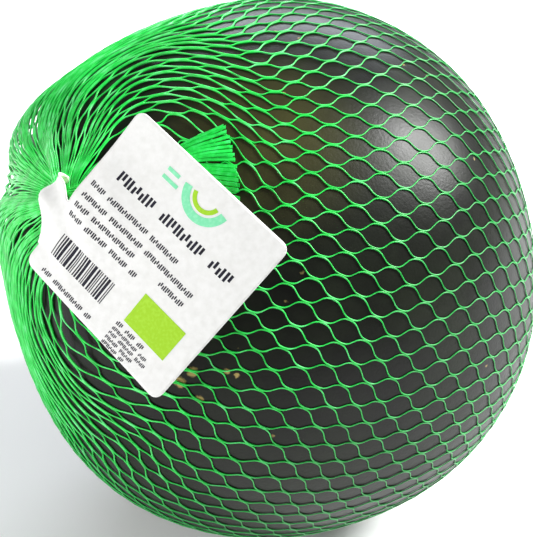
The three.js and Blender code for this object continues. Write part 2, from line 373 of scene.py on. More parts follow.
@dataclass(frozen=True)
class NetPlastic(Finish):
    """Extruded and drawn polyethylene net: strong green, slightly glossy and a little cloudy.
    Near the gather it is painted brighter: painted light. Further off its strands are drawn thin and it is
    painted darker, a painted shade for the dark rind showing through them."""

    name: str = "polyethylene_net_extruded"
    bright: str = "1cd84c"
    pale: str = "60e884"
    deep: str = "10b43e"
    # thin: a painted shade, the darker colour that stands for the rind showing through far strands
    thin: str = "0b8536"
    # the painted light is brightest about this point and fades into the painted shade over this reach
    painted_light_at: tuple[float, float, float] = (0, 0, 0)
    painted_light_reach: tuple[float, float] = (62 * MM, 120 * MM)
    cloud: float = 5 * MM

    def make(self) -> bpy.types.Material:
        """Builds the material.

        Returns:
            The material.
        """
        material, tree, shader = self.start()
        place = add_node(tree, "TexCoord").outputs["Object"]
        cloud = add_node(tree, "TexNoise", inputs={
            "Vector": place, "Scale": 1 / self.cloud, "Detail": 2.0})
        colour = ramp(tree, cloud.outputs["Fac"], [
            (0.3, linear(self.deep)), (0.5, linear(self.bright)), (0.72, linear(self.pale))])
        # painted light and shade: brighter near the front neck, darker with distance from it
        away = add_node(tree, "VectorMath", {"operation": "DISTANCE"}, {0: place, 1: self.painted_light_at})
        low, high = self.painted_light_reach
        painted_shade_fade = add_node(tree, "MapRange", {"interpolation_type": "SMOOTHSTEP"}, {
            "Value": away.outputs["Value"], "From Min": low, "From Max": high,
            "To Min": 0.0, "To Max": 0.85})
        drawn = add_node(tree, "Mix", {"data_type": "RGBA"}, {
            "Factor": painted_shade_fade.outputs["Result"], "A": colour, "B": linear(self.thin)})
        tree.links.new(drawn.outputs["Result"], shader.inputs["Base Color"])
        ripple = add_node(tree, "TexNoise", inputs={"Vector": place, "Scale": 1 / (0.5 * MM)})
        tree.links.new(self.bump(tree, ripple.outputs["Fac"], 0.03 * MM), shader.inputs["Normal"])
        shader.inputs["Roughness"].default_value = 0.38
        shader.inputs["IOR"].default_value = 1.5
        return material


@dataclass(frozen=True)
class LabelPaper(Finish):
    """Uncoated thermal paper, calendered: white, quite matt, with a faint fibre mottle."""

    name: str = "thermal_paper_white"
    white: str = "ececea"
    shade: str = "e3e3e0"

    def make(self) -> bpy.types.Material:
        """Builds the material.

        Returns:
            The material.
        """
        material, tree, shader = self.start()
        place = add_node(tree, "TexCoord").outputs["Object"]
        fibre = add_node(tree, "TexNoise", inputs={
            "Vector": place, "Scale": 1 / (2.2 * MM), "Detail": 6.0})
        colour = ramp(tree, fibre.outputs["Fac"], [(0.3, linear(self.shade)), (0.65, linear(self.white))])
        tree.links.new(colour, shader.inputs["Base Color"])
        tree.links.new(self.bump(tree, fibre.outputs["Fac"], 0.02 * MM), shader.inputs["Normal"])
        shader.inputs["Roughness"].default_value = 0.62
        shader.inputs["IOR"].default_value = 1.45
        return material


@dataclass(frozen=True)
class Ink(Finish):
    """Printing ink on paper: a thin matt film, a little uneven where the head was cooler."""

    colour: str = "0e0b1c"
    worn: str = "1f1c33"

    def make(self) -> bpy.types.Material:
        """Builds the material.

        Returns:
            The material.
        """
        material, tree, shader = self.start()
        place = add_node(tree, "TexCoord").outputs["Object"]
        wear = add_node(tree, "TexNoise", inputs={
            "Vector": place, "Scale": 1 / (0.9 * MM), "Detail": 3.0})
        colour = ramp(tree, wear.outputs["Fac"], [(0.45, linear(self.colour)), (0.7, linear(self.worn))])
        tree.links.new(colour, shader.inputs["Base Color"])
        shader.inputs["Roughness"].default_value = 0.55
        shader.inputs["IOR"].default_value = 1.48
        shader.inputs["Specular IOR Level"].default_value = 0.25
        return material


@dataclass(frozen=True)
class ClipAluminium(Finish):
    """Drawn aluminium wire, pressed shut: bright, with fine lines and dull press marks."""

    name: str = "aluminium_wire_drawn"
    bright: str = "c9cbce"
    dull: str = "9b9ea3"

    def make(self) -> bpy.types.Material:
        """Builds the material.

        Returns:
            The material.
        """
        material, tree, shader = self.start()
        place = add_node(tree, "TexCoord").outputs["Object"]
        marks = add_node(tree, "TexNoise", inputs={
            "Vector": place, "Scale": 1 / (1.2 * MM), "Detail": 5.0})
        colour = ramp(tree, marks.outputs["Fac"], [(0.35, linear(self.dull)), (0.6, linear(self.bright))])
        tree.links.new(colour, shader.inputs["Base Color"])
        tree.links.new(self.bump(tree, marks.outputs["Fac"], 0.03 * MM), shader.inputs["Normal"])
        shader.inputs["Metallic"].default_value = 1.0
        shader.inputs["Roughness"].default_value = 0.34
        return material


# ---- the fruit ------------------------------------------------------------------------------


@dataclass
class Watermelon:
    """The fruit: a nearly round solid about its stem axis, with a flat that it lies on."""

    equator: float = 92.1 * MM
    polar: float = 88.7 * MM
    squareness: float = 2.2
    rest_flat: float = 2 * MM           # taken off the round where it lies
    net_under: float = 0.65 * MM        # the squeezed net between the flat and the floor
    stem_axis: np.ndarray = field(default_factory=lambda: unit(np.array([-0.92, -0.381, -0.074])))
    dimple_radius: float = 15 * MM
    dimple_depth: float = 1.6 * MM
    pit_radius: float = 3.2 * MM
    pit_depth: float = 2.4 * MM
    rim_radius: float = 4.6 * MM        # the low rim round the stem's pit
    rim_width: float = 1.2 * MM
    rim_height: float = 0.5 * MM
    blossom_radius: float = 9 * MM
    blossom_depth: float = 0.7 * MM
    blossom_pit_radius: float = 2.5 * MM
    blossom_pit_depth: float = 0.9 * MM
    segments: int = 288
    rings: int = 160

    def __post_init__(self) -> None:
        low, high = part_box("watermelon")
        self.centre = (np.array(low) + np.array(high)) / 2
        self.centre[2] -= self.rest_flat / 2

    def radius(self, directions: np.ndarray) -> np.ndarray:
        """Finds the distance from the centre to the rind, without its dimples.

        Args:
            directions: unit directions from the centre.

        Returns:
            The distance along each one.
        """
        along = np.clip(np.abs(directions @ self.stem_axis), 0, 1)
        across = np.sqrt(np.maximum(0, 1 - along**2))
        power = self.squareness
        total = (across / self.equator) ** power + (along / self.polar) ** power
        return total ** (-1 / power)

    def over(self, direction: np.ndarray, height: float = 0.0) -> np.ndarray:
        """The point at a height over the rind, in the frame, along a direction from the centre."""
        direction = unit(np.asarray(direction, float))
        return self.centre + direction * (self.radius(direction) + height)

    def lumps(self, directions: np.ndarray) -> np.ndarray:
        """The slow unevenness of a grown fruit along unit directions."""
        waves = ((0.35 * MM, (3.1, 4.0, -2.2), 0.4), (0.25 * MM, (-5.0, 2.4, 4.4), 2.1))
        return sum(size * np.sin(directions @ np.array(wave) + phase) for size, wave, phase in waves)

    def sunk(self, directions: np.ndarray) -> np.ndarray:
        """Finds how deep the stem dimple, its pit and the blossom dimple are.

        Args:
            directions: unit directions from the centre.

        Returns:
            The depth below the round rind along each one, less than 0 on the stem's rim.
        """
        along = directions @ self.stem_axis
        across = np.sqrt(np.maximum(0, 1 - along**2)) * self.polar
        stem = self.dimple_depth * np.exp(-((across / self.dimple_radius) ** 2))
        pit = self.pit_depth * np.exp(-((across / self.pit_radius) ** 4))
        rim = -self.rim_height * np.exp(-(((across - self.rim_radius) / self.rim_width) ** 2))
        blossom = self.blossom_depth * np.exp(-((across / self.blossom_radius) ** 2))
        blossom = blossom + self.blossom_pit_depth * np.exp(-((across / self.blossom_pit_radius) ** 4))
        return np.where(along > 0, stem + pit + rim, blossom)

    def build(self) -> bpy.types.Object:
        """Makes the fruit.

        Returns:
            The piece that stands for the CAD fruit.
        """
        shape = bmesh.new()
        bmesh.ops.create_uvsphere(shape, u_segments=self.segments, v_segments=self.rings, radius=1.0)
        turn = Vector((0, 0, 1)).rotation_difference(Vector(self.stem_axis)).to_matrix()
        bmesh.ops.rotate(shape, cent=(0, 0, 0), matrix=turn, verts=shape.verts)
        directions = unit(np.array([vertex.co[:] for vertex in shape.verts]))
        distance = self.radius(directions) - self.sunk(directions) + self.lumps(directions)
        points = self.centre + directions * distance[:, None]
        points[:, 2] = np.maximum(points[:, 2], self.net_under)
        for vertex, point in zip(shape.verts, points):
            vertex.co = point
        scabs = (((-0.237, -0.936, 0.259), 2.0 * MM), ((-0.279, -0.935, 0.217), 2.2 * MM),
                 ((-0.216, -0.962, 0.169), 1.7 * MM), ((-0.129, -0.953, 0.275), 1.4 * MM),
                 ((-0.098, -0.959, 0.264), 1.2 * MM))
        finish = Rind(
            olive_patch=tuple(self.over((-0.019, -0.50, 0.866))),
            scab_spots=tuple((tuple(self.over(towards)), radius) for towards, radius in scabs),
            stem_scar=tuple(self.over(self.stem_axis, -1.5 * MM)))
        return new_piece("fruit", mesh_of(shape, "fruit"), [finish.make()], Slot.RIND, "watermelon")


# ---- the label's place ----------------------------------------------------------------------


@dataclass
class LabelPlace:
    """Where the label lies: u runs along its print, v from line to line upwards, in metres."""

    fruit: Watermelon
    middle: np.ndarray = field(default_factory=lambda: np.array([-34.1, -74.6, 56.9]) * MM)
    across: np.ndarray = field(default_factory=lambda: unit(np.array([0.696, -0.581, -0.422])))
    up: np.ndarray = field(default_factory=lambda: unit(np.array([0.6255, 0.202, 0.7536])))
    side: float = 60 * MM
    bend: float = 1200 * MM
    twist: float = -0.0023 / MM         # height per square metre, across by up
    swell: float = 3.1 * MM
    swell_at: tuple[float, float] = (-24.7 * MM, -1 * MM)
    swell_reach: float = 13 * MM
    crease: float = 0.55 * MM           # beside the tab, where the paper is pulled tight
    crease_at: tuple[float, float] = (-27 * MM, -11 * MM)
    crease_reach: float = 13 * MM
    wave: float = 0.35 * MM             # slow, all over the sheet
    tab_run: float = 7.0 * MM           # the tab's straight start, before it turns
    tab_radius: float = 3.1 * MM
    tab_reach: tuple[float, float] = (-24 * MM, -10 * MM)    # from its low side to its full run

    def __post_init__(self) -> None:
        self.out = np.cross(self.across, self.up)

    def over_rind(self, u: float, v: float, height: float) -> np.ndarray:
        """The point at a height over the rind, inwards of a place on the label's plane."""
        return self.fruit.over(self.middle + self.across * u + self.up * v, height)

    def height(self, u: float, v: float) -> float:
        """Finds how far the sheet stands out from its own plane at a place on it.

        Args:
            u: along the print.
            v: up the sheet.

        Returns:
            The height, in metres.
        """
        du, dv = u - self.swell_at[0], v - self.swell_at[1]
        swell = self.swell * math.exp(-(du * du + dv * dv) / self.swell_reach**2)
        near_tab = math.exp(-(((u - self.crease_at[0]) / self.crease_reach) ** 2
                              + ((v - self.crease_at[1]) / self.crease_reach) ** 2))
        crease = self.crease * near_tab * math.sin((0.8 * u + 1.1 * v) / (2.3 * MM))
        wave = self.wave * math.sin(u / (11 * MM) + 0.6) * math.sin(v / (14 * MM) + 1.0)
        return swell + crease + wave + self.twist * u * v - u * u / (2 * self.bend)

    def point(self, u: float, v: float, lift: float = 0.0) -> Vector:
        """A point on the sheet, or on the tab where u is past the sheet's edge.

        Args:
            u: along the print, and past -side/2 the length along the tab.
            v: up the sheet.
            lift: how far above the paper's face.

        Returns:
            The point in the frame.
        """
        edge = -self.side / 2
        out = self.height(max(u, edge), v)
        if u < edge:
            slope = (self.height(edge + MM, v) - self.height(edge, v)) / MM
            start = math.pi / 2 + math.atan(slope)
            full = float(smoothstep(*self.tab_reach, v))
            straight = min(edge - u, self.tab_run * full)
            tight = self.tab_radius * (0.35 + 0.65 * full)
            turn = start + (edge - u - straight) / tight
            radius = tight + lift
            out += radius * math.sin(turn) - tight * math.sin(start) + straight * math.cos(start)
            u = edge - straight * math.sin(start) + radius * math.cos(turn) - tight * math.cos(start)
        else:
            out += lift
        return Vector(self.fruit.centre + self.middle + self.across * u + self.up * v + self.out * out)


# ---- the net --------------------------------------------------------------------------------


@dataclass(frozen=True)
class Fold:
    """A ridge or a groove in the slack net that runs out from the front neck."""

    bearing: float      # radians from the frame's +X, anticlockwise seen from outside
    width: float        # radians
    start: float        # angles from the neck, radians
    end: float
    rise: float         # metres, less than 0 in a groove


@dataclass
class CarryingNet:
    """A tube of diamond mesh, drawn over the fruit and gathered at both ends.

    Each fibre swings between its two neighbours and is fused with one or the other at every
    half row, which makes the diamonds.
    """

    fruit: Watermelon
    label: LabelPlace
    cells: int = 70                     # round the tube
    slant: float = 8.35 * MM            # from one fused bar's middle to the next
    fibre: float = 0.49 * MM            # across one fibre; a fused bar is two
    squeeze: float = 0.72               # share of a fibre's width between two fused ones
    crowding: float = 3.0               # times as dense on one side of the front gather
    crowded_side: float = math.radians(150)
    steps: int = 8                      # samples in each half row
    gores: int = 4
    tail_samples: int = 18
    tail_share: float = 0.36            # of the front route that single fibres follow
    bundle: float = 3.3 * MM
    front_tent: float = 10 * MM         # how far the slack net stands off the rind at each neck
    back_tent: float = 2.6 * MM
    back_tail: float = 21 * MM
    back_samples: int = 16
    back_share: float = 0.92            # the back bundle's radius over the front one's
    back_flare: float = 0.75            # how much wider it is at its cut
    blend: int = 9                      # steps on each side of a neck that are rounded
    blend_passes: int = 10
    pole: np.ndarray = field(default_factory=lambda: unit(np.array([-0.753, -0.391, 0.530])))
    billow_at: np.ndarray = field(default_factory=lambda: unit(np.array([-0.874, 0.170, 0.455])))
    billow: float = 5.6 * MM            # how far the slack net blows out there
    billow_reach: float = 0.30          # radians
    thin: float = 0.72                  # a drawn strand's relative width, between two fused bars
    swelled: float = 0.38               # what it gains where it is fused
    relaxed_gain: float = 1.5             # what it gains in the slack net by the front gather
    relaxed_at: float = 0.74              # where that is most, in radians from the neck
    relaxed_reach: tuple[float, float] = (0.52, 1.9)    # along the fibres, and round the neck
    folds: tuple[Fold, ...] = (
        Fold(math.radians(157), math.radians(7), 0.05, 0.95, -5.0 * MM),
        Fold(math.radians(171), math.radians(10), 0.25, 1.00, 2.4 * MM),
        Fold(math.radians(140), math.radians(9), 0.10, 0.50, -3.0 * MM),
        Fold(math.radians(192), math.radians(7), 0.10, 0.70, -3.0 * MM),
        Fold(math.radians(126), math.radians(9), 0.08, 0.50, 2.0 * MM),
        Fold(math.radians(223), math.radians(9), 0.10, 0.55, -3.0 * MM),
        Fold(math.radians(250), math.radians(12), 0.08, 0.60, 2.2 * MM),
    )

    def __post_init__(self) -> None:
        self.fibres = 2 * self.cells
        self.neck = unit(self.label.over_rind(-34.6 * MM, -8 * MM, 0) - self.fruit.centre)
        self.east = unit(np.array([1.0, 0, 0]) - self.pole[0] * self.pole)
        self.north = np.cross(self.pole, self.east)
        self.tip_axis = unit(np.cross(self.pole, self.neck))
        self.tip = math.acos(float(self.pole @ self.neck))

    def rows(self) -> tuple[np.ndarray, np.ndarray]:
        """Spaces the rows, which are longer where the ring of cells is small.

        Returns:
            Angles from the pole, and the half-row count that each one has reached.
        """
        angle = np.linspace(0, math.pi, 2000)
        half_cell = self.fruit.equator * np.sin(angle) * TURN / (2 * self.cells)
        pitch = np.sqrt(np.maximum(self.slant**2 - half_cell**2, (4 * MM) ** 2))
        step = self.fruit.equator * (angle[1] - angle[0]) / pitch
        return angle, np.concatenate([[0], np.cumsum(step[1:])])

    def rise(self, directions: np.ndarray) -> np.ndarray:
        """Finds how far the net stands off the rind.

        Args:
            directions: unit directions from the fruit's centre.

        Returns:
            The height along each one, in metres.
        """
        near = np.arccos(np.clip(directions @ self.neck, -1, 1))
        back = np.arccos(np.clip(-directions @ self.pole, -1, 1))
        funnel = 0
        for away, tall in ((near, self.front_tent), (back, self.back_tent)):
            reach = math.acos(1 / (1 + tall / self.fruit.equator))
            funnel = funnel + self.fruit.equator * (1 / np.cos(np.maximum(0, reach - away)) - 1)
        away = np.arccos(np.clip(directions @ self.billow_at, -1, 1))
        billow = self.billow * np.exp(-((away / self.billow_reach) ** 2))
        right = unit(np.array([1.0, 0, 0]) - self.neck[0] * self.neck)
        up = np.cross(self.neck, right)
        bearing = np.arctan2(directions @ up, directions @ right)
        total = funnel + billow
        for fold in self.folds:
            off = (bearing - fold.bearing + math.pi) % TURN - math.pi
            window = smoothstep(fold.start - 0.12, fold.start + 0.12, near)
            window = window * (1 - smoothstep(fold.end - 0.25, fold.end, near))
            total = total + fold.rise * np.exp(-((off / fold.width) ** 2)) * window
        return np.maximum(total, 0)

    def sleeve(self) -> tuple[np.ndarray, np.ndarray]:
        """Every fibre's path over the fruit, from the front neck to the back one.

        Returns:
            Points by fibre and step, in the frame, and the fibre's relative width at each. A
            fibre is widest where it is fused and where the slack net isn't drawn thin.
        """
        angles, counts = self.rows()
        first = np.interp(math.asin(self.bundle * 1.25 / self.fruit.equator), angles, counts)
        last = counts[-1] - first
        row = np.arange(math.ceil(first * self.steps), math.floor(last * self.steps)) / self.steps
        number = np.arange(self.fibres)
        bearing = TURN * number / self.fibres
        drift = 0.22 * np.sin(2 * bearing + 0.8) + 0.10 * np.sin(5 * bearing + 2.0)
        angle = np.interp(row[None, :] + drift[:, None], counts, angles)
        ring = self.fruit.equator * np.sin(angle)
        drawn = self.crowding ** (smoothstep(0.25, 0.92, angle) - 1)
        even = (self.crowded_side - TURN * number[:, None] / self.fibres) / 2
        gap = ring * TURN / self.fibres * drawn / (np.cos(even) ** 2 + (drawn * np.sin(even)) ** 2)
        wave = np.tanh(1.15 * np.cos(math.pi * row)) / math.tanh(1.15)
        parity = np.where(number % 2 == 0, 1.0, -1.0)
        swing = 0.5 * parity[:, None] * wave[None, :] * np.maximum(0, 1 - self.squeeze * self.fibre / gap)
        turn = (number[:, None] + swing) * TURN / self.fibres
        slack = np.exp(-((angle / 0.62) ** 2)) + np.exp(-(((math.pi - angle) / 0.5) ** 2))
        turn = turn + slack * (0.055 * np.sin(11 * turn + 0.5) + 0.035 * np.sin(17 * turn + 2.0))
        turn = turn + 0.012 * np.sin(3 * turn + 9 * angle)
        half = (self.crowded_side - turn) / 2
        turn = self.crowded_side - 2 * np.arctan2(drawn * np.sin(half), np.cos(half))
        straight = (np.cos(angle)[..., None] * self.pole
                    + np.sin(angle)[..., None] * (np.cos(turn)[..., None] * self.east
                                                  + np.sin(turn)[..., None] * self.north))
        tipping = self.tip * (1 - smoothstep(0.05, 1.1, angle))
        directions = turned(straight, self.tip_axis, tipping)
        crowd = self.fibre**2 / gap
        layer = (number * 0.618034) % 1
        pleat = 0.9 * MM * slack * (0.5 + 0.5 * np.sin(11 * turn + 2.1))
        height = (0.55 * self.fibre + self.rise(directions) + pleat
                  + layer[:, None] * np.clip(crowd - 0.5 * self.fibre, 0, 3 * MM))
        distance = self.fruit.radius(directions) + self.fruit.lumps(directions) + height
        points = self.fruit.centre + directions * distance[..., None]
        points[..., 2] = np.maximum(points[..., 2], 0.5 * self.fibre)
        off = (turn - self.crowded_side + math.pi) % TURN - math.pi
        along, around = self.relaxed_reach
        relaxed = np.exp(-(((angle - self.relaxed_at) / along) ** 2)) * np.exp(-((off / around) ** 2))
        widths = (self.thin + self.swelled * np.abs(wave) ** 3)[None] * (1 + self.relaxed_gain * relaxed)
        return points, widths

    def front_route(self, count: int) -> np.ndarray:
        """Runs the middle of the front tail from inside the neck to its cut end.

        Args:
            count: how many points to return.

        Returns:
            The points, in the frame.
        """
        stops = ((-36.0, -11, 8.0), (-34.6, -7, 8.6), (-30.6, -1.8, 6.6), (-25.6, 3.4, 6.2),
                 (-18.7, 12.6, 4.4), (-11.2, 27.6, 3.6), (0.0, 40.2, 3.4))
        points = [self.label.over_rind(u * MM, v * MM, h * MM) for u, v, h in stops]
        return catmull_rom(np.array(points), count)

    def front_tail(self) -> np.ndarray:
        """Runs every fibre along the start of the front tail, ending at the neck.

        Returns:
            Points by fibre and step, in the frame.
        """
        whole = round(self.tail_samples / self.tail_share)
        route = self.front_route(whole)
        tangent = unit(np.gradient(route, axis=0))
        side = unit(np.cross(tangent, route - self.fruit.centre))
        out = unit(np.cross(side, tangent))
        number = np.arange(self.fibres)
        azimuth = TURN * number / self.fibres
        spread = self.bundle * np.sqrt((number * 0.618034 + 0.2) % 1)
        points = (route[None] + side[None] * (spread * np.cos(azimuth))[:, None, None]
                  + out[None] * (spread * np.sin(azimuth))[:, None, None])
        return points[:, 3:self.tail_samples][:, ::-1]

    def back_end(self) -> np.ndarray:
        """Runs every fibre along the short straight back tail, from the neck to its cut.

        Returns:
            Points by fibre and step, in the frame.
        """
        along = np.linspace(0, 1, self.back_samples)
        number = np.arange(self.fibres)
        azimuth = TURN * number / self.fibres
        spread = 0.35 + 0.65 * np.sqrt((number * 0.618034) % 1)
        widen = self.bundle * self.back_share * (1 + self.back_flare * smoothstep(0.35, 1, along))
        base = self.fruit.radius(-self.pole[None])[0] + 3.5 * MM
        cut = 0.8 * MM * np.sin(number // 2 * 78.233)
        axis = self.fruit.centre - self.pole * (base + along[:, None] * self.back_tail)
        around = np.cos(azimuth)[:, None] * self.east + np.sin(azimuth)[:, None] * self.north
        points = axis[None] + around[:, None] * (spread[:, None] * widen[None])[..., None]
        return points - self.pole * (cut[:, None] * along[None])[..., None]

    def fibre_paths(self) -> tuple[np.ndarray, np.ndarray]:
        """Every fibre's whole path, with its bends into the necks rounded.

        Returns:
            The paths by fibre and step, and the fibres' relative width at each step.
        """
        front, back = self.front_tail(), self.back_end()
        middle, middle_widths = self.sleeve()
        paths = np.concatenate([front, middle, back], axis=1)
        for joint in (front.shape[1], front.shape[1] + middle.shape[1]):
            low, high = joint - self.blend, joint + self.blend
            for _ in range(self.blend_passes):
                beside = paths[:, low - 1:high - 1] + paths[:, low + 1:high + 1]
                paths[:, low:high] = 0.5 * paths[:, low:high] + 0.25 * beside
        widths = np.ones(paths.shape[:2])
        widths[:, front.shape[1]:front.shape[1] + middle.shape[1]] = middle_widths
        return paths, widths

    def build(self) -> list[bpy.types.Object]:
        """Makes the net in gores, each a few dozen fibres wide.

        Returns:
            The pieces; together they stand for the CAD net.
        """
        # the net's colour is painted brighter about the front neck and darker away from it: painted light
        # and shade
        plastic = NetPlastic(painted_light_at=tuple(self.fruit.over(self.neck))).make()
        paths, widths = self.fibre_paths()
        pieces = []
        for gore, fibres in enumerate(np.array_split(np.arange(self.fibres), self.gores)):
            curve = bpy.data.curves.new("net_gore", "CURVE")
            curve.dimensions = "3D"
            curve.bevel_depth = 0.5 * self.fibre
            curve.bevel_resolution = 1
            curve.use_fill_caps = True
            for path, width in zip(paths[fibres], widths[fibres]):
                spline = curve.splines.new("POLY")
                spline.points.add(len(path) - 1)
                spline.points.foreach_set("co", np.hstack([path, np.ones((len(path), 1))]).ravel())
                spline.points.foreach_set("radius", width)
            strand = bpy.data.objects.new("net_gore", curve)
            mesh = bpy.data.meshes.new_from_object(strand)
            bpy.data.objects.remove(strand)
            bpy.data.curves.remove(curve)
            name = f"net_gore_{gore + 1}"
            mesh.name = name
            pieces.append(new_piece(name, mesh, [plastic], Slot.NET, "net", "net_tail"))
        return pieces


@dataclass
class Fringe:
    """The front tail beyond its clip: flat net straps, fanned out and cut straight across."""

    net: CarryingNet
    columns: int = 18
    layers: int = 2
    strap: float = 1.15 * MM            # one strap's width
    thickness: float = 0.36 * MM
    width: float = 27 * MM              # of the fan at its cut
    start: float = 0.22                 # along the front route
    samples: int = 40
    clumps: tuple[int, ...] = (8, 14)   # the columns before which the fan parts a little
    fan_from: float = 0.10              # along the tail, where it starts to open
    fan_power: float = 0.95
    cut_slant: float = 2.9 * MM         # of the cut, from side to side
    cut_bow: float = 1.4 * MM
    cut_ragged: float = 0.35 * MM

    def straps(self) -> list[tuple[np.ndarray, np.ndarray, np.ndarray]]:
        """Lays out the straps.

        Returns:
            For every strap its middle line, with its sideways and upward directions.
        """
        route = self.net.front_route(120)
        route = route[round(self.start * 119):]
        route = catmull_rom(route[::6], self.samples)
        along = np.linspace(0, 1, self.samples)
        tangent = unit(np.gradient(route, axis=0))
        side = unit(np.cross(tangent, route - self.net.fruit.centre))
        out = unit(np.cross(side, tangent))
        fan = np.clip((along - self.fan_from) / (1 - self.fan_from), 0, 1) ** self.fan_power
        made = []
        for layer in range(self.layers):
            for column in range(self.columns):
                seed = layer * 31.7 + column * 12.9898
                wobble, other = math.sin(seed), math.sin(seed * 2.3 + 1.0)
                share = (column + 0.5 + 0.22 * layer) / self.columns * 2 - 1
                share += 0.03 * sum(1 if column >= gap else -1 for gap in self.clumps) + 0.03 * wobble
                angle = TURN * (column + 0.3 * layer) / self.columns
                reach = self.net.bundle * (0.9 - 0.3 * layer)
                sideways = reach * math.cos(angle) * (1 - fan) + share * self.width / 2 * fan
                lift = reach * math.sin(angle) * (1 - fan) + (layer - 0.5) * 1.3 * MM * fan
                lift = lift + 0.3 * MM * other * np.sin(along * 5 + seed) * fan
                middle = route + side * sideways[:, None] + out * lift[:, None]
                cut = self.cut_slant * share - self.cut_bow * share**2 + self.cut_ragged * other
                middle = middle + tangent * (cut * along**3)[:, None]
                roll = 0.38 * wobble + 0.25 * np.sin(along * 4 + seed)
                flat = side * np.cos(roll)[:, None] + out * np.sin(roll)[:, None]
                up = out * np.cos(roll)[:, None] - side * np.sin(roll)[:, None]
                made.append((middle, flat, up))
        return made

    def build(self) -> bpy.types.Object:
        """Makes the straps as one piece.

        Returns:
            The piece.
        """
        shape = bmesh.new()
        corners = ((-0.5, 0), (-0.42, 0.5), (0.42, 0.5), (0.5, 0), (0.42, -0.5), (-0.42, -0.5))
        for middle, flat, up in self.straps():
            rings = [
                [shape.verts.new(point + a * (x * self.strap) + b * (y * self.thickness))
                 for x, y in corners]
                for point, a, b in zip(middle, flat, up)]
            for before, after in zip(rings, rings[1:]):
                for i in range(len(corners)):
                    k = (i + 1) % len(corners)
                    shape.faces.new((before[i], before[k], after[k], after[i]))
            shape.faces.new(rings[0])
            shape.faces.new(rings[-1])
        bmesh.ops.recalc_face_normals(shape, faces=shape.faces)
        # the straps' colour takes the same painted light about the front neck and painted shade away from
        # it
        plastic = NetPlastic(
            name="polyethylene_net_strap", bright="16d84c", pale="3fe674", deep="0dbb40",
            painted_light_at=tuple(self.net.fruit.over(self.net.neck)), cloud=2.2 * MM).make()
        mesh = mesh_of(shape, "net_fringe")
        return new_piece("net_fringe", mesh, [plastic], Slot.NET, "net", smooth=False)


# ---- the clips ------------------------------------------------------------------------------


@dataclass
class WireClips:
    """The two aluminium clips that hold the necks shut, whose shape the CAD gives."""

    names: tuple[str, ...] = ("front_clip", "back_clip")

    def build(self) -> None:
        """Gives both clips their metal."""
        metal = ClipAluminium().make()
        for name in self.names:
            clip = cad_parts[name]
            clip.data.materials.clear()
            clip.data.materials.append(metal)
            LOG.info("%s: finished", name)


# ---- the label ------------------------------------------------------------------------------


